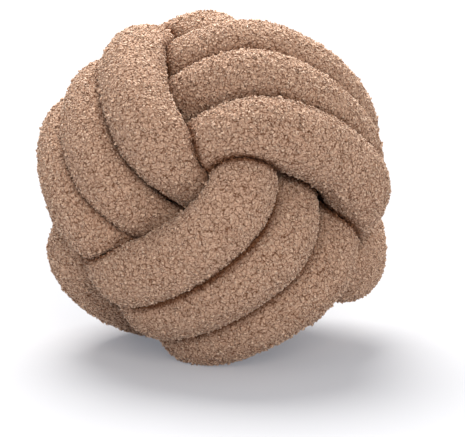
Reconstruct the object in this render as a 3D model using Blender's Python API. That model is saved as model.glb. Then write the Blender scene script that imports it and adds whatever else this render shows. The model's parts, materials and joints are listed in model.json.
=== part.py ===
# Knot cushion: a stuffed tube of looped cloth knotted into a ball, three bundles of three strands that pass
# over and under one another. Metres, +Z up, the front towards -Y. The origin is on the floor, under the
# middle of the ball.

import math

import bmesh
import bpy
import numpy as np

mm = 0.001

ringRadius = 121.5 * mm    # from the ball's centre to the middle of a strand, on a bundle's face
strandRadius = 31 * mm     # of the stuffed tube, out to the tips of its loops
strandPitch = 52 * mm      # from strand to strand across a bundle
waistHalf = 66 * mm        # from the ball's centre to the strands where they dive under the next bundle
cornering = 9              # how squarely a strand turns at its waist: a higher power is squarer
restHeight = 137.5 * mm    # of the ball's centre over the floor, a little less than its radius
coreRadius = 98 * mm       # fills the ball behind the strands

cornerLift = 16.8          # degrees: where the three bundles meet at the front, above level
cornerAside = 1.2          # degrees: the same corner, towards +X
faceLean = math.degrees(math.atan(math.sqrt(2)))  # between a cube's corner and its faces' normals

pathSteps = 64
sideSteps = 5              # bevel resolution, which gives a tube of 14 sides
sharpFrom = 40             # degrees between two faces: from there on the edge between them is a crease

# The bundles in turn. Each passes over the one before it and under the one after. facing is the way that its
# middle faces, in degrees round the corner, and tip turns it about that direction.
bundles = {
    "upper": dict(facing=36, tip=0),
    "left": dict(facing=156, tip=3),
    "lower": dict(facing=276, tip=-8),
}

# One row a strand, in millimetres and degrees: how far hand knotting pulled it out of the even pattern.
# place counts across the bundle, 1 nearest to the front corner. shift, skew, lean and bow move the strand
# across its bundle: evenly, at its two waists, front against back, and in the middle against the waists.
# reach, frontReach and waistReach move it outwards, waist and waistSkew lengthen the part that shows,
# shoulder and backShoulder square one corner at the front or the back, and turn slides it along its ring.
strands = [
    dict(bundle="upper", place=1, shift=-15, bow=3, skew=3, lean=4, reach=4, frontReach=-1, waistReach=-3,
         waist=4, turn=-5),
    dict(bundle="upper", place=0, shift=-8, bow=3, skew=-14, lean=8, reach=-3, waist=5, turn=-4),
    dict(bundle="upper", place=-1, shift=4, bow=2, skew=-17, lean=10, reach=1, waist=5, turn=-8),
    dict(bundle="left", place=1, shift=-21, bow=2, skew=9, reach=6, frontReach=-8, waistReach=-4,
         shoulder=14, backShoulder=3, waistSkew=-10, turn=-7),
    dict(bundle="left", place=0, shift=-12, skew=-5, lean=2, reach=-2, shoulder=-4, waistSkew=-3, turn=-6),
    dict(bundle="left", place=-1, shift=2, bow=2, skew=2, reach=2, turn=-3),
    dict(bundle="lower", place=1, shift=1, bow=1, skew=-1),
    dict(bundle="lower", place=0, shift=8, bow=6, skew=-11),
    dict(bundle="lower", place=-1, shift=11, bow=8, skew=-19, reach=3),
]


def unit(vector):
    return vector / np.linalg.norm(vector)


def turnedAbout(axis, degrees, vector):
    """The vector turned about a unit axis it is at right angles to."""
    angle = math.radians(degrees)
    return math.cos(angle) * vector + math.sin(angle) * np.cross(axis, vector)


def bundleFaces():
    """The way each bundle faces: three directions at right angles, evenly round the front corner."""
    lift, aside, lean = (math.radians(angle) for angle in (cornerLift, cornerAside, faceLean))
    corner = np.array([
        math.sin(aside) * math.cos(lift),
        -math.cos(aside) * math.cos(lift),
        math.sin(lift),
    ])
    right = unit(np.array([1.0, 0.0, 0.0]) - corner[0] * corner)
    return {
        name: math.cos(lean) * corner + math.sin(lean) * turnedAbout(corner, bundle["facing"], right)
        for name, bundle in bundles.items()
    }


def bundleAxes(name):
    """A bundle's face, the way its strands run from there, and the way across them."""
    faces = bundleFaces()
    order = list(bundles)
    first = order.index(name)
    face, along, across = (faces[order[(first + step) % 3]] for step in range(3))
    tip = bundles[name]["tip"]
    return face, turnedAbout(face, tip, along), turnedAbout(face, tip, across)


def strandPath(row):
    """Points along the middle of a strand's ring, from the ball's centre: a circle pinched in at its waists."""
    def pulled(column):
        return row.get(column, 0) * mm

    face, along, across = bundleAxes(row["bundle"])
    angle = np.linspace(0, 2 * math.pi, pathSteps, endpoint=False)
    sine, cosine = np.sin(angle), np.cos(angle)
    sideways = (
        row["place"] * strandPitch + pulled("shift") + pulled("skew") * sine
        + pulled("lean") * cosine + pulled("bow") * np.cos(2 * angle)
    )
    radius = (
        np.sqrt(ringRadius**2 - sideways**2) + pulled("reach")
        + pulled("frontReach") * cosine + pulled("waistReach") * sine
    )
    shoulder = np.where(cosine > 0, pulled("shoulder"), pulled("backShoulder"))
    waist = (
        waistHalf + pulled("waist") + pulled("waistSkew") * sine
        + shoulder * np.maximum(0, -np.sin(2 * angle))
    )
    distance = (radius**-cornering + (np.abs(sine) / waist) ** cornering) ** (-1 / cornering)
    slid = angle + math.radians(row.get("turn", 0))
    return (
        np.outer(distance * np.cos(slid), face)
        + np.outer(distance * np.sin(slid), along)
        + np.outer(sideways, across)
    )


def ballCentre(paths):
    """Where the ball's centre goes, so that the cushion's box stands in the middle of the floor's origin."""
    points = np.concatenate(paths)
    middle = (points.min(axis=0) + points.max(axis=0)) / 2
    return np.array([-middle[0], -middle[1], restHeight])


def collection(name):
    made = bpy.data.collections.new(name)
    bpy.context.scene.collection.children.link(made)
    return made


def asHelper(obj):
    obj.hide_render = True
    obj.display_type = "WIRE"


def strandTube(name, points, home):
    """A closed tube of the strand's thickness along the points, as a mesh that a Boolean can take."""
    curve = bpy.data.curves.new(name, "CURVE")
    curve.dimensions = "3D"
    curve.bevel_depth = strandRadius
    curve.bevel_resolution = sideSteps
    spline = curve.splines.new("POLY")
    spline.points.add(len(points) - 1)
    for point, place in zip(spline.points, points):
        point.co = (*place, 1)
    spline.use_cyclic_u = True
    guide = bpy.data.objects.new(name + "Path", curve)
    home.objects.link(guide)
    tube = bpy.data.objects.new(
        name, bpy.data.meshes.new_from_object(guide.evaluated_get(bpy.context.evaluated_depsgraph_get()))
    )
    bpy.data.objects.remove(guide)
    home.objects.link(tube)
    asHelper(tube)
    return tube


def floorBlock(home):
    """Cuts the ball's flat spots: all that would reach below the floor."""
    shape = bmesh.new()
    bmesh.ops.create_cube(shape, size=4 * ringRadius)
    bmesh.ops.translate(shape, vec=(0, 0, -2 * ringRadius), verts=shape.verts)
    mesh = bpy.data.meshes.new("floorBlock")
    shape.to_mesh(mesh)
    shape.free()
    block = bpy.data.objects.new("floorBlock", mesh)
    home.objects.link(block)
    asHelper(block)
    return block


def fabric():
    material = bpy.data.materials.new("loopedCloth")
    material.use_nodes = True
    shader = material.node_tree.nodes["Principled BSDF"]
    shader.inputs["Base Color"].default_value = (0.42, 0.26, 0.18, 1)
    shader.inputs["Roughness"].default_value = 0.95
    shader.inputs["Metallic"].default_value = 0
    return material


def linkedPoints(start):
    """Every point that edges join to the given one."""
    found = {start}
    edge = [start]
    while edge:
        near = {link.other_vert(point) for point in edge for link in point.link_edges} - found
        found |= near
        edge = list(near)
    return found


def keepOuterSkin(obj):
    """Applies the modifiers and fills the pockets left between the strands, by deleting the pockets' skins."""
    whole = bpy.data.meshes.new_from_object(obj.evaluated_get(bpy.context.evaluated_depsgraph_get()))
    obj.modifiers.clear()
    shape = bmesh.new()
    shape.from_mesh(whole)
    bpy.data.meshes.remove(whole)
    outermost = max(shape.verts, key=lambda point: point.co.z)
    skin = linkedPoints(outermost)
    pockets = [point for point in shape.verts if point not in skin]
    bmesh.ops.delete(shape, geom=pockets, context="VERTS")
    shape.to_mesh(obj.data)
    shape.free()
    obj.data.shade_smooth()
    obj.data.set_sharp_from_angle(angle=math.radians(sharpFrom))


def knotBall():
    """The cushion: a filled core with the nine strands joined to it, flat where it rests."""
    home = collection("knotCushion")
    helpers = collection("helpers")
    tubes = bpy.data.collections.new("strands")
    helpers.children.link(tubes)

    paths = [strandPath(row) for row in strands]
    centre = ballCentre(paths)
    for row, path in zip(strands, paths):
        strandTube(f"{row['bundle']}{row['place'] + 2}", path + centre, tubes)

    shape = bmesh.new()
    bmesh.ops.create_uvsphere(shape, u_segments=24, v_segments=12, radius=coreRadius)
    bmesh.ops.translate(shape, vec=centre, verts=shape.verts)
    mesh = bpy.data.meshes.new("knot")
    shape.to_mesh(mesh)
    shape.free()
    mesh.materials.append(fabric())
    knot = bpy.data.objects.new("knot", mesh)
    home.objects.link(knot)

    joined = knot.modifiers.new("strands", "BOOLEAN")
    joined.operation = "UNION"
    joined.operand_type = "COLLECTION"
    joined.collection = tubes
    joined.solver = "EXACT"
    flat = knot.modifiers.new("flatSpots", "BOOLEAN")
    flat.operation = "DIFFERENCE"
    flat.object = floorBlock(helpers)
    flat.solver = "EXACT"
    keepOuterSkin(knot)
    return knot


for old in list(bpy.data.objects):
    bpy.data.objects.remove(old, do_unlink=True)
knotBall()
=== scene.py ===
# The knot cushion's looks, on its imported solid: nine strands of looped cloth, the floor, light and camera.
# Metres, +Z up, the front towards -Y. The origin is on the floor, under the middle of the ball.

import json
import math

import bpy
import numpy as np
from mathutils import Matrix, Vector

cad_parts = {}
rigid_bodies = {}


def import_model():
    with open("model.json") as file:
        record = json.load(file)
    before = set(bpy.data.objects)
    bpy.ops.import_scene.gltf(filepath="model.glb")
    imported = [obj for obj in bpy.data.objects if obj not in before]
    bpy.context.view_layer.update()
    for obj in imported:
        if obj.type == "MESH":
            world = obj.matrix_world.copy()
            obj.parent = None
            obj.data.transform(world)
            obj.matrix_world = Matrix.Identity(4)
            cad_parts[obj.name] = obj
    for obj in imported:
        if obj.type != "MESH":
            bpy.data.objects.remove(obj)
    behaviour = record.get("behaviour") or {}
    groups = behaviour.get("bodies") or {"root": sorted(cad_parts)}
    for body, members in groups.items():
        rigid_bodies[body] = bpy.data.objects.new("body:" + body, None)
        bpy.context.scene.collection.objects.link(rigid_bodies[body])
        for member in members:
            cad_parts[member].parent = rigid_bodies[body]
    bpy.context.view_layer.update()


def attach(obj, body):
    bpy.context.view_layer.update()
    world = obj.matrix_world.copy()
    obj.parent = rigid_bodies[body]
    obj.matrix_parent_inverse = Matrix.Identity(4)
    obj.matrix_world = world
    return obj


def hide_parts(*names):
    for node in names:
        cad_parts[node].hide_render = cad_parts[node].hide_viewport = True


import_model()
mm = 0.001

# How the strands are knotted. These values and the strands' rows below are the part's source's own, but that
# lowerFar lies 2 mm further out here, and 1 mm less to the side.
knot = dict(
    ringRadius=121.5 * mm,    # from the ball's centre to the middle of a strand, on a bundle's face
    strandPitch=52 * mm,      # from strand to strand across a bundle
    waistHalf=66 * mm,        # from the ball's centre to the strands where they dive under the next bundle
    cornering=9,              # how squarely a strand turns at its waist: a higher power is squarer
    restHeight=137.5 * mm,    # of the ball's centre over the floor
    cornerLift=16.8,          # degrees: where the three bundles meet at the front, above level
    cornerAside=1.2,          # degrees: the same corner, towards +X
    faceLean=math.degrees(math.atan(math.sqrt(2))),  # between a cube's corner and its faces' normals
)

bundles = {
    "upper": dict(facing=36, tip=0),
    "left": dict(facing=156, tip=3),
    "lower": dict(facing=276, tip=-8),
}

# One row a strand, in millimetres and degrees: how far hand knotting pulled it out of the even pattern. Its
# crease is how much painted shade the cloth gets where it meets the next strand, and how much lower its curls
# are there, as a share of what is usual.
strands = {
    "upperNear": dict(bundle="upper", place=1, shift=-15, bow=3, skew=3, lean=4, reach=4, frontReach=-1,
                      waistReach=-3, waist=4, turn=-5),
    "upperMiddle": dict(bundle="upper", place=0, shift=-8, bow=3, skew=-14, lean=8, reach=-3, waist=5,
                        turn=-4),
    "upperFar": dict(bundle="upper", place=-1, shift=4, bow=2, skew=-17, lean=10, reach=1, waist=5, turn=-8),
    "leftNear": dict(bundle="left", place=1, shift=-21, bow=2, skew=9, reach=6, frontReach=-8, waistReach=-4,
                     shoulder=14, backShoulder=3, waistSkew=-10, turn=-7, crease=0.6),
    "leftMiddle": dict(bundle="left", place=0, shift=-12, skew=-5, lean=2, reach=-2, shoulder=-4,
                       waistSkew=-3, turn=-6, crease=0.35),
    "leftFar": dict(bundle="left", place=-1, shift=2, bow=2, skew=2, reach=2, turn=-3, crease=0.35),
    "lowerNear": dict(bundle="lower", place=1, shift=1, bow=1, skew=-1),
    "lowerMiddle": dict(bundle="lower", place=0, shift=8, bow=6, skew=-11, crease=1.5),
    "lowerFar": dict(bundle="lower", place=-1, shift=10, bow=8, skew=-19, reach=5, crease=2.2),
}

# The stuffed tube, and how finely its mesh is made where it shows and where it is inside the ball.
stuffing = dict(
    radius=31 * mm,           # out to the tips of the loops
    contactSoftness=10.0,     # how sharply it flattens against its neighbours: a higher power is sharper
    gap=0.15 * mm,            # from a strand to where it would touch its neighbour
    lumpHeight=0.8 * mm,      # the filling's unevenness
    lumpPitch=45 * mm,
    bend=5 * mm,              # how far along a strand its bends are softened
    pathPoints=1440,          # round a strand's ring, before they are spread evenly
    showsFrom=104 * mm,       # from the ball's centre: what lies nearer to it is hidden
    showsOver=8 * mm,         # over which the rings get closer together
    ringSpacing=2.8 * mm,
    hiddenSpacing=7 * mm,
    sides=48,
    sideSpacing=2.6 * mm,     # on the side that shows
    sideCrowding=9,           # how late they get wider round the back: a higher power is later
    startWidth=1.6,           # of the tube before it is fitted, in radii
    leastAhead=0.01 * mm,     # a strand that is less far ahead of a point doesn't limit it
    rounds=10,                # how often the swelling strands are fitted to one another
    seedStep=10,              # from strand to strand; each uses up to five seeds
)

# The cloth: a pile of small curls, each a coil of yarn that rises from the ground of the cloth. Its colours
# hold painted shade deep in the pile, between the clumps and where strands meet.
cloth = dict(
    pileHeight=2.2 * mm,      # from the ground of the cloth to the curls' tips
    flatWithin=26.3 * mm,     # from the strand's middle: there the pile is pressed flat
    flatOver=2.6 * mm,        # how much further out it is full again
    leastPile=0.15,           # the share of it that is left where it is pressed flat
    yarnThickness=1.75 * mm,
    yarnEnds=0.5,             # how thick the yarn is at a coil's ends, as a share of that
    yarnSwell=0.55,           # and how much thicker in its middle
    coilSteps=5,              # to a turn of a coil
    curlSpacing=2.2 * mm,     # the least distance between two curls
    curlDensity=1800000.0,    # the most curls to a square metre that are tried
    curlLean=0.45,            # radians: how far a curl leans over
    curlSizes=(0.88, 1.5),    # the smallest and the largest
    curlRarity=5,             # how rare the large ones are: a higher power is rarer
    hiddenWithin=94 * mm,     # from the ball's centre: there are no curls nearer to it
    probe=2.3 * mm,           # how far out it is asked whether another strand covers a place
    coveredWithin=27.4 * mm,  # of the other strand's middle
    openBeyond=29 * mm,       # from there on a strand's side has curls too
    sideFrom=-0.3,            # how much a surface faces out of the ball, else it counts as a strand's side
    grain=1.5 * mm,           # the pitch of the small spots in the ground of the cloth
    grainRange=(0.42, 0.62),  # the noise's values from the ground's painted shade to the spots' full colour
    grainShare=0.5,           # how far the spots go towards the tips' colour
    gapPitch=2.2 * mm,        # the pitch of the gaps in the painted shade lines between the clumps
    gapRange=(0.4, 0.56),     # the noise's values from a gap to the full line
    gapShare=0.3,             # how much of the painted shade the lines keep in their gaps
    clump=4 * mm,             # the pitch of the clumps that the curls draw together in
    clumpPull=5 * mm,         # how far the clumps are pulled out of shape
    clumpWander=0.6,          # how quickly the pull changes from place to place, in waves a clump
    clumpEdge=0.14,           # how wide the painted shade lines between the clumps are, as a share of the pitch
    clumpRound=0.3,           # how far in from there the curls get higher
    clumpDepth=0.5,           # how much lower the curls are between the clumps, as a share of their height
    clumpTop=1.1,             # and how high in the middle of one
    creaseDepth=0.15,         # how much lower they are where the strand meets the next one
    creaseReach=8 * mm,       # how far from there it counts
    creaseFalling=2.5,        # how soon it fades from there: a higher power is sooner
    tipColour=(0.77, 0.548, 0.405),
    # painted shade of the pile's depth, on the ground and the curls' feet
    groundColour=(0.4, 0.248, 0.168),
    edgeTint=(0.26, 0.15, 0.09),     # painted shade on the cloth between its clumps
    creaseTint=(0.42, 0.27, 0.18),   # painted shade, darker and browner, where it meets the next strand
    paleFrom=0.75,            # how high up a curl, as a share of the pile, the painted shade of the pile's depth gives way to the tips' colour
    dullest=0.6,              # the share of the tips' colour that the dullest curl gets
    roughness=0.92,
    shine=0.1,
    sheen=0.03,
    sheenRoughness=0.5,
    sheenTint=(1.0, 0.93, 0.87),
    glow=0.35,                # how much of the light passes through the yarn
    glowReach=1.5 * mm,
    glowColours=(1.0, 0.9, 0.8),     # how far red, green and blue light go, as shares of that
)

# The yarn has three sides. This is where the corners of a coil's end go on the map, in quads.
yarnSides = [(0, 0), (1, 0), (0.5, 0.8)]

# The kinds of curl: turns of the coil, its radius at the foot and the tip, and how high it rises.
curls = [
    dict(turns=1.0, foot=1.3 * mm, tip=0.5 * mm, rise=1.4 * mm),
    dict(turns=-0.85, foot=1.5 * mm, tip=0.8 * mm, rise=1.0 * mm),
    dict(turns=0.8, foot=1.1 * mm, tip=0.35 * mm, rise=1.8 * mm),
]


class Wire:
    # A node's output. Arithmetic on it adds Math nodes.
    def __init__(self, graph, socket):
        self.graph, self.socket = graph, socket

    def math(self, operation, *others):
        inputs = dict(enumerate((self, *others)))
        return self.graph.node("ShaderNodeMath", dict(operation=operation), inputs)[0]

    def vector(self, operation, *others):
        inputs = dict(enumerate((self, *others)))
        return self.graph.node("ShaderNodeVectorMath", dict(operation=operation), inputs)

    def scaled(self, size):
        inputs = {"Vector": self, "Scale": size}
        return self.graph.node("ShaderNodeVectorMath", dict(operation="SCALE"), inputs)[0]

    def between(self, low, high):
        return self.math("MAXIMUM", low).math("MINIMUM", high)

    def __add__(self, other):
        return self.math("ADD", other)

    def __sub__(self, other):
        return self.math("SUBTRACT", other)

    def __rsub__(self, other):
        return self.graph.node("ShaderNodeMath", dict(operation="SUBTRACT"), {0: other, 1: self})[0]

    def __mul__(self, other):
        return self.math("MULTIPLY", other)

    def __truediv__(self, other):
        return self.math("DIVIDE", other)

    def __rtruediv__(self, other):
        return self.graph.node("ShaderNodeMath", dict(operation="DIVIDE"), {0: other, 1: self})[0]

    def __pow__(self, other):
        return self.math("POWER", other)

    __radd__, __rmul__ = __add__, __mul__


class Outputs:
    # A new node's outputs, by place or by name.
    def __init__(self, graph, node):
        self.graph, self.node = graph, node

    def __getitem__(self, name):
        return Wire(self.graph, self.graph.found(self.node.outputs, name))


class Graph:
    # Builds the nodes of a material or of a Geometry Nodes tree.
    def __init__(self, tree):
        self.tree = tree

    def found(self, sockets, name):
        if isinstance(name, int):
            return sockets[name]
        return next(s for s in sockets if s.enabled and name in (s.name, s.identifier))

    def feed(self, socket, value):
        if isinstance(value, list):
            for one in value:
                self.feed(socket, one)
        elif isinstance(value, Wire):
            self.tree.links.new(value.socket, socket)
        else:
            socket.default_value = value

    def node(self, kind, settings=None, inputs=None):
        made = self.tree.nodes.new(kind)
        for name, value in (settings or {}).items():
            setattr(made, name, value)
        for name, value in (inputs or {}).items():
            self.feed(self.found(made.inputs, name), value)
        return Outputs(self, made)


def unit(vector):
    return vector / np.linalg.norm(vector, axis=-1, keepdims=True)


def turnedAbout(axis, degrees, vector):   # for a vector at right angles to the axis
    angle = math.radians(degrees)
    return math.cos(angle) * vector + math.sin(angle) * np.cross(axis, vector)


def bundleFaces():            # three directions at right angles, evenly round the front corner
    lift, aside, lean = (math.radians(knot[name]) for name in ("cornerLift", "cornerAside", "faceLean"))
    corner = np.array([math.sin(aside) * math.cos(lift), -math.cos(aside) * math.cos(lift), math.sin(lift)])
    right = unit(np.array([1.0, 0.0, 0.0]) - corner[0] * corner)
    return {
        name: math.cos(lean) * corner + math.sin(lean) * turnedAbout(corner, bundle["facing"], right)
        for name, bundle in bundles.items()
    }


def bundleAxes(name):         # the bundle's face, the way its strands run there, and the way across them
    faces = bundleFaces()
    order = list(bundles)
    first = order.index(name)
    face, along, across = (faces[order[(first + step) % 3]] for step in range(3))
    tip = bundles[name]["tip"]
    return face, turnedAbout(face, tip, along), turnedAbout(face, tip, across)


def strandPath(row, count):   # points round the middle of a strand's ring, from the ball's centre
    def pulled(column):
        return row.get(column, 0) * mm

    face, along, across = bundleAxes(row["bundle"])
    angle = np.linspace(0, 2 * math.pi, count, endpoint=False)
    sine, cosine = np.sin(angle), np.cos(angle)
    sideways = (
        row["place"] * knot["strandPitch"] + pulled("shift") + pulled("skew") * sine
        + pulled("lean") * cosine + pulled("bow") * np.cos(2 * angle)
    )
    radius = (
        np.sqrt(knot["ringRadius"] ** 2 - sideways**2) + pulled("reach")
        + pulled("frontReach") * cosine + pulled("waistReach") * sine
    )
    shoulder = np.where(cosine > 0, pulled("shoulder"), pulled("backShoulder"))
    waist = (
        knot["waistHalf"] + pulled("waist") + pulled("waistSkew") * sine
        + shoulder * np.maximum(0, -np.sin(2 * angle))
    )
    power = knot["cornering"]
    distance = (radius**-power + (np.abs(sine) / waist) ** power) ** (-1 / power)
    slid = angle + math.radians(row.get("turn", 0))
    return (
        np.outer(distance * np.cos(slid), face)
        + np.outer(distance * np.sin(slid), along)
        + np.outer(sideways, across)
    )


def ballCentre():
    sourcePoints = 64         # to a strand, as in the part's source
    points = np.concatenate([strandPath(row, sourcePoints) for row in strands.values()])
    middle = (points.min(axis=0) + points.max(axis=0)) / 2
    return np.array([-middle[0], -middle[1], knot["restHeight"]])


def spread(points, need):     # a closed line's points, placed anew: need is how many stretches each becomes
    total = np.concatenate([[0], np.cumsum(need)])
    wanted = np.linspace(0, total[-1], round(total[-1]), endpoint=False)
    closed = np.concatenate([points, points[:1]])
    return np.stack([np.interp(wanted, total, column) for column in closed.T], axis=1)


def steps(points):            # from each point of a closed line to the next
    return np.linalg.norm(np.roll(points, -1, axis=0) - points, axis=1)


def softened(points):         # the closed line with its bends eased, as a full tube bends
    length = steps(points).sum()
    turns = np.fft.rfftfreq(len(points), length / len(points))
    weight = np.exp(-2 * (math.pi * turns * stuffing["bend"]) ** 2)
    return np.fft.irfft(np.fft.rfft(points, axis=0) * weight[:, None], len(points), axis=0)


def strandLine(row, centre):  # where the rings of the strand's mesh go, and the way out of the ball at each
    exact = strandPath(row, stuffing["pathPoints"])
    even = softened(spread(exact, steps(exact) / mm))
    tangent = unit(np.roll(even, -1, axis=0) - np.roll(even, 1, axis=0))
    across = bundleAxes(row["bundle"])[2]
    outward = unit(np.cross(tangent, across))
    outward *= np.sign((outward * even).sum())
    outside = even + outward * stuffing["radius"]
    hidden = stuffing["showsFrom"] - np.linalg.norm(outside, axis=1)
    share = np.clip(hidden / stuffing["showsOver"], 0, 1)
    spacing = stuffing["ringSpacing"] + share * (stuffing["hiddenSpacing"] - stuffing["ringSpacing"])
    placed = spread(np.hstack([even, outward]), steps(outside) / spacing)
    return placed[:, :3] + centre, unit(placed[:, 3:])


def lineMesh(name, lines, numbers, outwards=None):
    # Closed lines as a mesh of edges, with the strand's number and the way outwards on its points.
    mesh = bpy.data.meshes.new(name)
    first, edges = 0, []
    for line in lines:
        edges += [(first + i, first + (i + 1) % len(line)) for i in range(len(line))]
        first += len(line)
    mesh.from_pydata(np.concatenate(lines).tolist(), edges, [])
    number = mesh.attributes.new("strand", "INT", "POINT")
    number.data.foreach_set("value", np.repeat(numbers, [len(line) for line in lines]).astype(np.int32))
    if outwards is not None:
        outward = mesh.attributes.new("outward", "FLOAT_VECTOR", "POINT")
        outward.data.foreach_set("vector", np.concatenate(outwards).astype(np.float32).ravel())
    made = bpy.data.objects.new(name, mesh)
    bpy.context.scene.collection.objects.link(made)
    return made


def clumpDistance(graph, place, pitch, pull):
    # From a place to the edge of its clump, as a share of the pitch.
    noise = graph.node("ShaderNodeTexNoise", inputs={
        "Vector": place, "Scale": cloth["clumpWander"] / pitch, "Detail": 0.0,
    })["Color"]
    return graph.node("ShaderNodeTexVoronoi", dict(feature="DISTANCE_TO_EDGE"), {
        "Vector": place.vector("ADD", noise.scaled(pull))[0], "Scale": 1 / pitch,
    })["Distance"]


# The kind of socket that takes a value.
socketKinds = {
    int: "Int", float: "Float", list: "Vector", bpy.types.Object: "Object", bpy.types.Material: "Material",
}


def stuffedTube(inputs):
    # The tree that swells a strand round its path until it meets the others, and raises the pile on it.
    tree = bpy.data.node_groups.new("stuffedTube", "GeometryNodeTree")
    graph = Graph(tree)
    sockets = {}
    tree.interface.new_socket(name="Path", in_out="INPUT", socket_type="NodeSocketGeometry")
    for name, value in inputs.items():
        kind = "NodeSocket" + socketKinds[type(value)]
        sockets[name] = tree.interface.new_socket(name=name, in_out="INPUT", socket_type=kind).identifier
    tree.interface.new_socket(name="Strand", in_out="OUTPUT", socket_type="NodeSocketGeometry")
    given = graph.node("NodeGroupInput")

    def named(name, kind="FLOAT_VECTOR"):
        return graph.node(
            "GeometryNodeInputNamedAttribute", dict(data_type=kind), {"Name": name}
        )["Attribute"]

    def keep(geometry, name, value, kind="FLOAT_VECTOR", domain="POINT"):
        return graph.node(
            "GeometryNodeStoreNamedAttribute", dict(data_type=kind, domain=domain),
            {"Geometry": geometry, "Name": name, "Value": value},
        )["Geometry"]

    def moved(geometry, place):
        return graph.node(
            "GeometryNodeSetPosition", inputs={"Geometry": geometry, "Position": place}
        )["Geometry"]

    position = graph.node("GeometryNodeInputPosition")["Position"]

    # The other strands' paths.
    everyPath = graph.node("GeometryNodeObjectInfo", inputs={"Object": given["All paths"]})["Geometry"]
    isOwn = graph.node(
        "FunctionNodeCompare", dict(data_type="INT", operation="EQUAL"),
        {"A": named("strand", "INT"), "B": given["Own number"]},
    )["Result"]
    others = graph.node(
        "GeometryNodeDeleteGeometry", inputs={"Geometry": everyPath, "Selection": isOwn}
    )["Geometry"]

    # A round tube, wider than it can be, with its points close together on the side that shows.
    curve = graph.node("GeometryNodeMeshToCurve", inputs={"Mesh": given["Path"]})["Curve"]
    curve = graph.node(
        "GeometryNodeSetCurveNormal", dict(mode="FREE"), {"Curve": curve, "Normal": named("outward")}
    )["Curve"]
    curve = keep(curve, "middle", position)
    circle = graph.node(
        "GeometryNodeCurvePrimitiveCircle", dict(mode="RADIUS"),
        {"Resolution": given["Sides"], "Radius": 1.0},
    )["Curve"]
    share = graph.node("GeometryNodeInputIndex")["Index"] / given["Sides"] * 2 - 1
    close = given["Sides"] * given["Side spacing"] / given["Radius"] / 2
    angle = close * share + (math.pi - close) * share ** stuffing["sideCrowding"]
    wide = given["Radius"] * stuffing["startWidth"]
    ring = graph.node(
        "ShaderNodeCombineXYZ", inputs={0: angle.math("COSINE") * wide, 1: angle.math("SINE") * wide}
    )[0]
    tube = graph.node(
        "GeometryNodeCurveToMesh", inputs={"Curve": curve, "Profile Curve": moved(circle, ring)}
    )["Mesh"]
    middle = named("middle")
    tube = keep(tube, "way", position.vector("SUBTRACT", middle)[0].vector("NORMALIZE")[0])
    way = named("way")

    def outBy(distance):      # the place that far out from the strand's middle
        return middle.vector("ADD", way.scaled(distance))[0]

    def otherStrand(place):   # the nearest point on another strand's middle
        return graph.node(
            "GeometryNodeProximity", dict(target_element="EDGES"),
            {"Geometry": others, "Sample Position": place},
        )

    # Each point draws in to where it is as near to the nearest other strand's middle as to its own.
    start = graph.node("GeometryNodeRepeatInput")
    end = graph.node("GeometryNodeRepeatOutput")
    start.node.pair_with_output(end.node)
    graph.feed(start.node.inputs["Iterations"], given["Rounds"])
    graph.feed(start.node.inputs["Geometry"], tube)
    toward = otherStrand(position)["Position"].vector("SUBTRACT", middle)[0]
    ahead = toward.vector("DOT_PRODUCT", way)["Value"].math("MAXIMUM", stuffing["leastAhead"])
    meets = toward.vector("DOT_PRODUCT", toward)["Value"] / (ahead * 2)
    reached = position.vector("DISTANCE", middle)["Value"]
    graph.feed(end.node.inputs["Geometry"], moved(start["Geometry"], outBy(reached.math("MINIMUM", meets))))

    # Where nothing presses on it, it is round but for the filling's lumps. It lies flat on the floor.
    lumps = graph.node(
        "ShaderNodeTexNoise", inputs={"Vector": position, "Scale": 1 / given["Lump pitch"], "Detail": 1.0}
    )["Fac"]
    free = given["Radius"] + (lumps - 0.5) * 2 * given["Lump height"]
    power = given["Contact softness"]
    limit = graph.node("GeometryNodeBlurAttribute", inputs={"Value": reached, "Iterations": 1})[0]
    fitted = (free ** (0 - power) + limit ** (0 - power)) ** (-1 / power) - given["Gap"]
    full = ((fitted - given["Flat within"]) / given["Flat over"]).between(given["Least pile"], 1.0)
    strand = moved(end["Geometry"], outBy(fitted - given["Pile height"] * full))

    def aboveFloor(geometry, least):
        axis = graph.node("ShaderNodeSeparateXYZ", inputs={0: position})
        raised = graph.node(
            "ShaderNodeCombineXYZ", inputs={0: axis[0], 1: axis[1], 2: axis[2].math("MAXIMUM", least)}
        )[0]
        return moved(geometry, raised)

    ground = aboveFloor(strand, given["Pile height"] / 2)

    # How near the ground is to the next strand: there the cloth gets painted crease shade and lower curls.
    away = otherStrand(position)["Distance"] - given["Radius"] + given["Pile height"]
    near = (1 - away / given["Crease reach"]).between(0.0, 1.0) ** given["Crease falling"]
    ground = keep(ground, "crease", (near * given["Crease share"]).math("MINIMUM", 1.0), "FLOAT")

    # The curls stand close together where the strand shows: not near the ball's centre, nor under a strand.
    deep = position.vector("DISTANCE", given["Ball centre"])["Value"]
    out = position.vector("SUBTRACT", given["Ball centre"])[0].vector("NORMALIZE")[0]
    other = otherStrand(position.vector("ADD", out.scaled(given["Probe"]))[0])["Distance"]
    level = way.vector("DOT_PRODUCT", out)["Value"].math("GREATER_THAN", given["Side from"])
    level = level.math("MAXIMUM", other.math("GREATER_THAN", given["Open beyond"]))
    shows = deep.math("GREATER_THAN", given["Hidden within"])
    shows = shows * level * other.math("GREATER_THAN", given["Covered within"])
    feet = graph.node(
        "GeometryNodeDistributePointsOnFaces", dict(distribute_method="POISSON"),
        {"Mesh": ground, "Selection": shows, "Distance Min": given["Curl spacing"],
         "Density Max": given["Curl density"], "Seed": given["Seed"]},
    )

    def randomly(kind, low, high, seed):
        return graph.node(
            "FunctionNodeRandomValue", dict(data_type=kind), {"Min": low, "Max": high, "Seed": seed}
        )["Value"]

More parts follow.
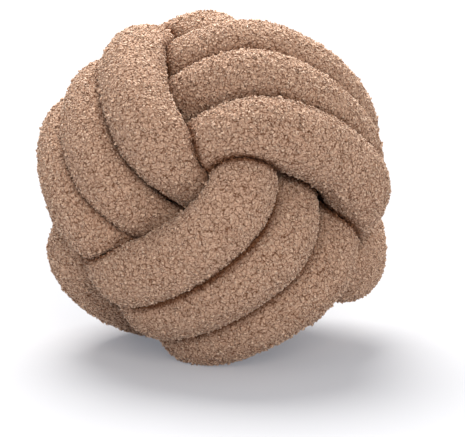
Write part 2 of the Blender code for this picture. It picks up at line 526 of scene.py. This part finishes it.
    yarn = graph.node(
        "GeometryNodeCurvePrimitiveCircle", dict(mode="RADIUS"),
        {"Resolution": len(yarnSides), "Radius": given["Yarn thickness"] / 2},
    )["Curve"]
    kinds = []
    for row in curls:
        coil = graph.node("GeometryNodeCurveSpiral", inputs={
            "Resolution": cloth["coilSteps"], "Rotations": abs(row["turns"]), "Start Radius": row["foot"],
            "End Radius": row["tip"], "Height": row["rise"], "Reverse": row["turns"] < 0,
        })["Curve"]
        along = graph.node("GeometryNodeSplineParameter")["Factor"]
        thick = (along * math.pi).math("SINE") * cloth["yarnSwell"] + cloth["yarnEnds"]
        coil = graph.node("GeometryNodeCurveToMesh", inputs={
            "Curve": coil, "Profile Curve": yarn, "Scale": thick, "Fill Caps": True,
        })["Mesh"]
        axis = graph.node("ShaderNodeSeparateXYZ", inputs={0: position})
        coil = keep(coil, "curl", (axis[2] / given["Pile height"]).math("MAXIMUM", 0.0), "FLOAT")
        kinds.append(graph.node("GeometryNodeGeometryToInstance", inputs={0: coil})[0])
    every = graph.node("GeometryNodeJoinGeometry", inputs={0: kinds})[0]
    lean = given["Curl lean"]
    turned = graph.node("FunctionNodeEulerToRotation", inputs={"Euler": randomly(
        "FLOAT_VECTOR",
        graph.node("ShaderNodeCombineXYZ", inputs={0: 0 - lean, 1: 0 - lean, 2: -math.pi})[0],
        graph.node("ShaderNodeCombineXYZ", inputs={0: lean, 1: lean, 2: math.pi})[0],
        given["Seed"] + 1,
    )})[0]
    rotation = graph.node(
        "FunctionNodeRotateRotation", dict(rotation_space="LOCAL"),
        {"Rotation": feet["Rotation"], "Rotate By": turned},
    )[0]
    extra = randomly("FLOAT", 0.0, 1.0, given["Seed"] + 3) ** cloth["curlRarity"]
    size = given["Smallest curl"] + extra * (given["Largest curl"] - given["Smallest curl"])
    inside = graph.node("ShaderNodeMapRange", dict(interpolation_type="SMOOTHSTEP"), {
        "Value": clumpDistance(graph, position, given["Clump"], given["Clump pull"]),
        "From Min": 0.0, "From Max": given["Clump round"],
        "To Min": 1 - given["Clump depth"], "To Max": given["Clump top"],
    })["Result"]
    size = size * inside * (1 - named("crease", "FLOAT") * given["Crease depth"])
    pile = graph.node("GeometryNodeInstanceOnPoints", inputs={
        "Points": feet["Points"], "Instance": every, "Pick Instance": True,
        "Instance Index": randomly("INT", 0, len(kinds) - 1, given["Seed"] + 2),
        "Rotation": rotation, "Scale": size,
    })["Instances"]
    shade = randomly("FLOAT", 0.0, 1.0, given["Seed"] + 4)
    pile = keep(pile, "shade", shade, "FLOAT", "INSTANCE")
    number = graph.node("GeometryNodeInputIndex")["Index"] + 1     # the ground's is 0
    pile = keep(pile, "number", number, "INT", "INSTANCE")
    pile = graph.node("GeometryNodeRealizeInstances", inputs={"Geometry": pile})["Geometry"]
    strand = graph.node("GeometryNodeJoinGeometry", inputs={0: [pile, ground]})[0]
    strand = aboveFloor(strand, 0.0)
    strand = graph.node("GeometryNodeSetShadeSmooth", inputs={"Geometry": strand})["Geometry"]
    strand = graph.node("GeometryNodeRealizeInstances", inputs={"Geometry": strand})["Geometry"]
    strand = graph.node(
        "GeometryNodeSetMaterial", inputs={"Geometry": strand, "Material": given["Cloth"]}
    )["Geometry"]
    result = graph.node("NodeGroupOutput")
    graph.feed(result.node.inputs[0], strand)
    return tree, sockets


def loopedCloth():
    material = bpy.data.materials.new("loopedCloth")
    material.use_nodes = True
    graph = Graph(material.node_tree)
    shader = material.node_tree.nodes["Principled BSDF"]
    shader.inputs["Roughness"].default_value = cloth["roughness"]
    shader.inputs["Metallic"].default_value = 0
    shader.inputs["Sheen Weight"].default_value = cloth["sheen"]
    shader.inputs["Sheen Roughness"].default_value = cloth["sheenRoughness"]
    shader.inputs["Sheen Tint"].default_value = (*cloth["sheenTint"], 1)
    shader.inputs["Specular IOR Level"].default_value = cloth["shine"]
    shader.inputs["Subsurface Weight"].default_value = cloth["glow"]
    shader.inputs["Subsurface Radius"].default_value = cloth["glowColours"]
    shader.inputs["Subsurface Scale"].default_value = cloth["glowReach"]

    def named(name):
        return graph.node("ShaderNodeAttribute", dict(attribute_type="GEOMETRY", attribute_name=name))["Fac"]

    def eased(value, fromRange, toRange=(0.0, 1.0)):
        return graph.node("ShaderNodeMapRange", dict(interpolation_type="SMOOTHSTEP"), {
            "Value": value, "From Min": fromRange[0], "From Max": fromRange[1],
            "To Min": toRange[0], "To Max": toRange[1],
        })["Result"]

    def noise(pitch):
        return graph.node(
            "ShaderNodeTexNoise", inputs={"Vector": place, "Scale": 1 / pitch, "Detail": 1.0}
        )["Fac"]

    place = graph.node("ShaderNodeTexCoord")["Object"]
    # Painted shade: low in the pile the cloth gets the darker colour, higher up the tips' colour; some curls
    # are duller at random.
    height = eased(named("curl"), (0.0, cloth["paleFrom"]))
    spots = eased(noise(cloth["grain"]), cloth["grainRange"])
    pale = height * (named("shade") * (1 - cloth["dullest"]) + cloth["dullest"])
    pale = pale.math("MAXIMUM", spots * cloth["grainShare"])
    # Painted shade in dark lines between the clumps, broken by gaps.
    clumps = clumpDistance(graph, place, cloth["clump"], cloth["clumpPull"])
    clumpShadeShare = eased(clumps, (0.0, cloth["clumpEdge"]), (1.0, 0.0))
    clumpShadeShare = clumpShadeShare * eased(noise(cloth["gapPitch"]), cloth["gapRange"], (cloth["gapShare"], 1.0))

    def mixed(way, share, one, other):
        return graph.node(
            "ShaderNodeMix", dict(data_type="RGBA", blend_type=way), {"Factor": share, "A": one, "B": other}
        )["Result"]

    colour = mixed("MIX", pale, (*cloth["groundColour"], 1), (*cloth["tipColour"], 1))
    colour = mixed("MULTIPLY", clumpShadeShare, colour, (*cloth["edgeTint"], 1))
    # painted shade where the strand meets the next one: the cloth is darkened and browned there
    creaseShadedColour = mixed("MULTIPLY", named("crease"), colour, (*cloth["creaseTint"], 1))
    graph.feed(shader.inputs["Base Color"], creaseShadedColour)
    return material


def asPlainMesh(obj):         # applies the modifiers
    graph = bpy.context.evaluated_depsgraph_get()
    mesh = bpy.data.meshes.new_from_object(
        obj.evaluated_get(graph), preserve_all_data_layers=True, depsgraph=graph
    )
    obj.modifiers.clear()
    old, obj.data = obj.data, mesh
    mesh.name = obj.name
    bpy.data.meshes.remove(old)


# The pieces' UV maps, for a baked picture.
cells = dict(
    groundShare=0.16,         # of the map's height, for the ground of the cloth
    groundFilled=0.98,        # how much of that it takes, so that it doesn't touch the curls' cells
    margin=0.25,              # round each curl's cell, in quads
    ends=(0.2, 1.6),          # where a coil's two ends lie across its cell, in quads
    endsUp=0.1,               # how far up in the cell's last row
)


def clothMap(obj, rings):     # the ground unrolled in a strip, with a cell above it for each curl
    mesh = obj.data
    corner = np.empty(len(mesh.loops), np.int32)
    mesh.loops.foreach_get("vertex_index", corner)
    first, size = (np.empty(len(mesh.polygons), np.int32) for _ in range(2))
    mesh.polygons.foreach_get("loop_start", first)
    mesh.polygons.foreach_get("loop_total", size)
    number = np.empty(len(mesh.vertices), np.int32)
    mesh.attributes["number"].data.foreach_get("value", number)
    mesh.attributes.remove(mesh.attributes["number"])
    owners, start, owner = np.unique(number, return_index=True, return_inverse=True)
    place = np.empty((len(corner), 2))

    def unrolled(value, count):   # a quad's two neighbouring numbers, also where the count starts again
        low = np.where(np.ptp(value, axis=1) > 1, count - 1, value.min(axis=1))[:, None]
        return low + (value - low) % count

    def ringAndSide(faces, corners, sides):
        at = first[faces][:, None] + np.arange(corners)
        ring, side = np.divmod(corner[at] - start[owner[corner[at]]], sides)
        return at, ring, side

    # The ground, whose number is 0.
    own = owners[owner[corner[first]]]
    share, sides = cells["groundShare"], stuffing["sides"]
    at, ring, side = ringAndSide(np.flatnonzero(own == 0), 4, sides)
    up = unrolled(side, sides) / sides * share * cells["groundFilled"]
    place[at] = np.stack([unrolled(ring, rings) / rings, up], axis=2)

    # The curls: a coil is three quads wide, and its two ends lie in a last row.
    around = len(yarnSides)
    at, ring, side = ringAndSide(np.flatnonzero((own > 0) & (size == 4)), 4, around)
    most = ring.max()
    place[at] = np.stack([unrolled(side, around), unrolled(ring, most + 2)], axis=2)
    ends, ring, side = ringAndSide(np.flatnonzero((own > 0) & (size == around)), around, around)
    right = np.where(ring > 0, cells["ends"][1], cells["ends"][0])
    up = np.full(ring.shape, most + cells["endsUp"])
    place[ends] = np.array(yarnSides)[side] + np.stack([right, up], axis=2)
    wide, high = around + 2 * cells["margin"], most + 1 + 2 * cells["margin"]
    columns = math.floor(math.sqrt(len(owners) * high / wide / (1 - share)))
    rows = math.ceil(len(owners) / columns)
    inPile = np.concatenate([at.ravel(), ends.ravel()])
    row, column = np.divmod(owner[corner[inPile]], columns)
    cell = np.stack([column * wide, row * high], axis=1) + cells["margin"]
    place[inPile] = (place[inPile] + cell) * (1 / columns / wide, (1 - share) / rows / high) + (0, share)
    mesh.uv_layers.new(name="OFBake").uv.foreach_set("vector", place.astype(np.float32).ravel())


def tubeInputs(number):       # what the tree is given for a strand
    row = list(strands.values())[number]
    return {
        "All paths": allPaths, "Own number": number, "Ball centre": centre.tolist(),
        "Radius": stuffing["radius"], "Contact softness": stuffing["contactSoftness"],
        "Gap": stuffing["gap"], "Lump height": stuffing["lumpHeight"], "Lump pitch": stuffing["lumpPitch"],
        "Sides": stuffing["sides"], "Side spacing": stuffing["sideSpacing"], "Rounds": stuffing["rounds"],
        "Hidden within": cloth["hiddenWithin"], "Probe": cloth["probe"],
        "Covered within": cloth["coveredWithin"], "Open beyond": cloth["openBeyond"],
        "Side from": cloth["sideFrom"], "Pile height": cloth["pileHeight"],
        "Flat within": cloth["flatWithin"], "Flat over": cloth["flatOver"],
        "Least pile": cloth["leastPile"], "Yarn thickness": cloth["yarnThickness"],
        "Clump": cloth["clump"], "Clump pull": cloth["clumpPull"],
        "Clump round": cloth["clumpRound"], "Clump depth": cloth["clumpDepth"],
        "Clump top": cloth["clumpTop"],
        "Crease depth": cloth["creaseDepth"], "Crease reach": cloth["creaseReach"],
        "Crease falling": cloth["creaseFalling"], "Crease share": row.get("crease", 1.0),
        "Curl spacing": cloth["curlSpacing"], "Curl density": cloth["curlDensity"],
        "Curl lean": cloth["curlLean"], "Smallest curl": cloth["curlSizes"][0],
        "Largest curl": cloth["curlSizes"][1], "Seed": stuffing["seedStep"] * number,
        "Cloth": fabric,
    }


for old in ("Cube", "Camera", "Light"):
    if old in bpy.data.objects:
        bpy.data.objects.remove(bpy.data.objects[old])

centre = ballCentre()
lines, outwards = zip(*(strandLine(row, centre) for row in strands.values()))
allPaths = lineMesh("allPaths", lines, range(len(lines)))
print("paths:", {name: len(line) for name, line in zip(strands, lines)})

fabric = loopedCloth()
tree, sockets = stuffedTube(tubeInputs(0))
for number, name in enumerate(strands):
    piece = lineMesh(name, [lines[number]], [number], [outwards[number]])
    swell = piece.modifiers.new("stuffedTube", "NODES")
    swell.node_group = tree
    for socket, value in tubeInputs(number).items():
        swell[sockets[socket]] = value
    asPlainMesh(piece)
    clothMap(piece, len(lines[number]))
    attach(piece, "root")
    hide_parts("knot")
    print("strand", name, len(piece.data.polygons), "faces,", len(piece.data.loop_triangles), "triangles")
bpy.data.objects.remove(allPaths)


# The stage: a pale floor, light from all round, a large soft light from above and behind, one from the front,
# and a near one over the back, which lights the ball only.
stage = dict(
    floorRadius=14.0,
    floorSides=96,
    floorColour=(0.54, 0.54, 0.545),
    floorGlow=(0.15, 0.163, 0.188),   # keeps the ball's shadow pale
    floorRoughness=0.9,
    floorShine=0.1,
    worldColour=(0.98, 0.98, 1.0),
    worldStrength=0.58,
)

lamps = {                     # towards: the way from the ball to the lamp
    "overhead": dict(strength=3.6, colour=(1.0, 0.99, 0.98), spread=42, towards=(-0.16, 0.55, 1.0)),
    "front": dict(strength=1.45, colour=(1.0, 0.94, 0.88), spread=30, towards=(0.2, -1.0, 0.5)),
}

nearLamp = dict(
    power=2.6,                # watts
    colour=(0.95, 0.98, 1.0),
    size=0.3,                 # metres along each side of the square
    place=(0.03, 0.25, 0.57),
)


def paleFloor():
    mesh = bpy.data.meshes.new("floor")
    turn = np.linspace(0, 2 * math.pi, stage["floorSides"], endpoint=False)
    rim = [(stage["floorRadius"] * math.cos(a), stage["floorRadius"] * math.sin(a), 0.0) for a in turn]
    mesh.from_pydata(rim, [], [range(len(rim))])
    floor = bpy.data.objects.new("floor", mesh)
    bpy.context.scene.collection.objects.link(floor)
    material = bpy.data.materials.new("paleFloor")
    material.use_nodes = True
    shader = material.node_tree.nodes["Principled BSDF"]
    shader.inputs["Base Color"].default_value = (*stage["floorColour"], 1)
    shader.inputs["Emission Color"].default_value = (*stage["floorGlow"], 1)
    shader.inputs["Emission Strength"].default_value = 1
    shader.inputs["Roughness"].default_value = stage["floorRoughness"]
    shader.inputs["Specular IOR Level"].default_value = stage["floorShine"]
    mesh.materials.append(material)


def lampMade(name, kind, power, colour, place, towards):
    lamp = bpy.data.lights.new(name, kind)
    lamp.energy, lamp.color = power, colour
    made = bpy.data.objects.new(name, lamp)
    made.location = place
    made.rotation_euler = Vector(towards).to_track_quat("Z", "Y").to_euler()
    bpy.context.scene.collection.objects.link(made)
    return made


def softLight():
    world = bpy.data.worlds.new("softLight")
    world.use_nodes = True
    background = world.node_tree.nodes["Background"]
    background.inputs["Color"].default_value = (*stage["worldColour"], 1)
    background.inputs["Strength"].default_value = stage["worldStrength"]
    bpy.context.scene.world = world
    for name, row in lamps.items():
        sun = lampMade(name, "SUN", row["strength"], row["colour"], (0, 0, 0), row["towards"])
        sun.data.angle = math.radians(row["spread"])
    place = Vector(nearLamp["place"])
    near = lampMade("near", "AREA", nearLamp["power"], nearLamp["colour"], place, place - Vector(centre))
    near.data.size = nearLamp["size"]
    ball = bpy.data.collections.new("ball")
    for name in strands:
        ball.objects.link(bpy.data.objects[name])
    near.light_linking.receiver_collection = ball


# The camera stands where the photographer's did.
view = dict(
    elevation=10,             # degrees above level
    distance=1.7,             # from the ball's centre
    pixelsWide=465,
    pixelsPerMetre=1183.33,   # at the ball's centre
    shift=(19.5, -32.5),      # pixels from the picture's middle to the ball's centre
)


def photoCamera():
    lens = bpy.data.cameras.new("photoView")
    lens.lens = lens.sensor_width * view["pixelsPerMetre"] * view["distance"] / view["pixelsWide"]
    lens.shift_x, lens.shift_y = (offset / view["pixelsWide"] for offset in view["shift"])
    camera = bpy.data.objects.new("photoView", lens)
    lift = math.radians(view["elevation"])
    camera.location = centre + view["distance"] * np.array([0.0, -math.cos(lift), math.sin(lift)])
    camera.rotation_euler = (math.pi / 2 - lift, 0, 0)
    bpy.context.scene.collection.objects.link(camera)
    bpy.context.scene.camera = camera


paleFloor()
softLight()
photoCamera()
bpy.context.scene.view_settings.view_transform = "Standard"
print("stage, light and camera made")
